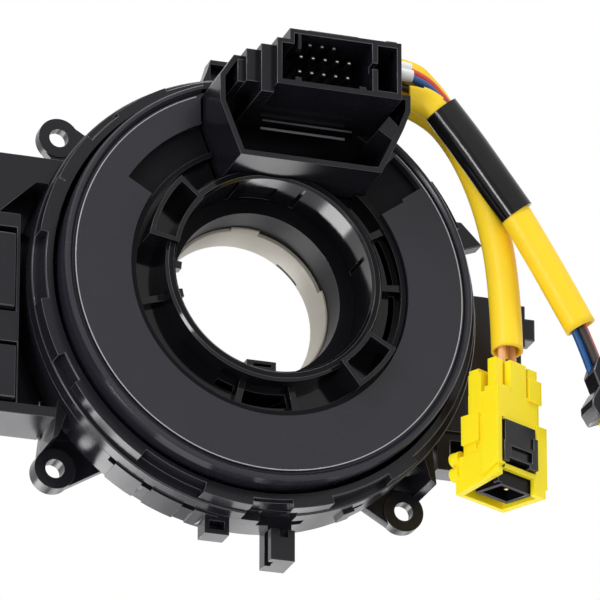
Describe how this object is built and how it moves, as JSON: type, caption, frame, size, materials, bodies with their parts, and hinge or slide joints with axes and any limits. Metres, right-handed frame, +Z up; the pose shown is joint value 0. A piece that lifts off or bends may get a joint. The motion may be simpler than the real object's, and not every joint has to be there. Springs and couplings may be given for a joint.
{
  "type": "steering clock spring",
  "caption": "Round steering column clock spring: turning hub with a connector block and two yellow wiring tails, in a fixed case with screw ears and side sockets.",
  "frame": {"origin": "on the bore axis, in the plane of the four screw ears", "axes": "+X to the right as the driver sees it, +Y away from the steering wheel along the bore, +Z up"},
  "size_m": [0.1465, 0.0456, 0.1077],
  "materials": {
    "black_satin": "satin",
    "black_gloss": "gloss",
    "grey_satin": "satin",
    "cream_plastic": "satin",
    "pin_metal": "bright",
    "brass_metal": "bright",
    "yellow_tube": "satin",
    "yellow_plastic": "satin",
    "shrink_black": "gloss",
    "wire_red": "satin",
    "wire_blue": "satin",
    "wire_dark": "satin",
    "wire_peach": "satin",
    "white_plastic": "satin",
    "ribbon": "satin"
  },
  "bodies": {
    "stator": {"stator_case": "black_satin", "stator_cover": "black_satin", "side_bracket": "black_satin", "upper_socket": "black_satin", "lower_socket": "black_satin", "right_bracket": "black_satin", "right_wedge_tab": "black_satin", "right_clip": "black_satin", "flat_cable": "ribbon"},
    "rotor": {"rotor_disc": "grey_satin", "rotor_hub": "black_gloss", "connector_tub": "black_satin", "pin_shroud": "black_satin", "shroud_pins": "pin_metal", "guide_sleeve": "cream_plastic", "long_tube": "yellow_tube", "short_tube": "yellow_tube", "tape_sleeve": "shrink_black", "red_wire": "wire_red", "blue_wire": "wire_blue", "dark_wire": "wire_dark", "peach_wire_left": "wire_peach", "peach_wire_right": "wire_peach", "wire_retainer": "white_plastic", "switch_plug": "black_satin", "switch_plug_lock": "yellow_plastic", "airbag_plug": "yellow_plastic", "airbag_plug_insert": "black_satin", "airbag_plug_contact": "brass_metal"},
    "latch": {"airbag_plug_latch": "black_satin"}
  },
  "joints": [
    {"name": "rotor_spin", "type": "hinge", "parent": "stator", "child": "rotor", "pos_m": [0, 0, 0], "axis": [0, 1, 0], "range_deg": [-900, 900]},
    {"name": "latch_press", "type": "slide", "parent": "rotor", "child": "latch", "axis": [-0.4633, 0.8862, 0], "range_m": [0, 0.0012]}
  ]
}
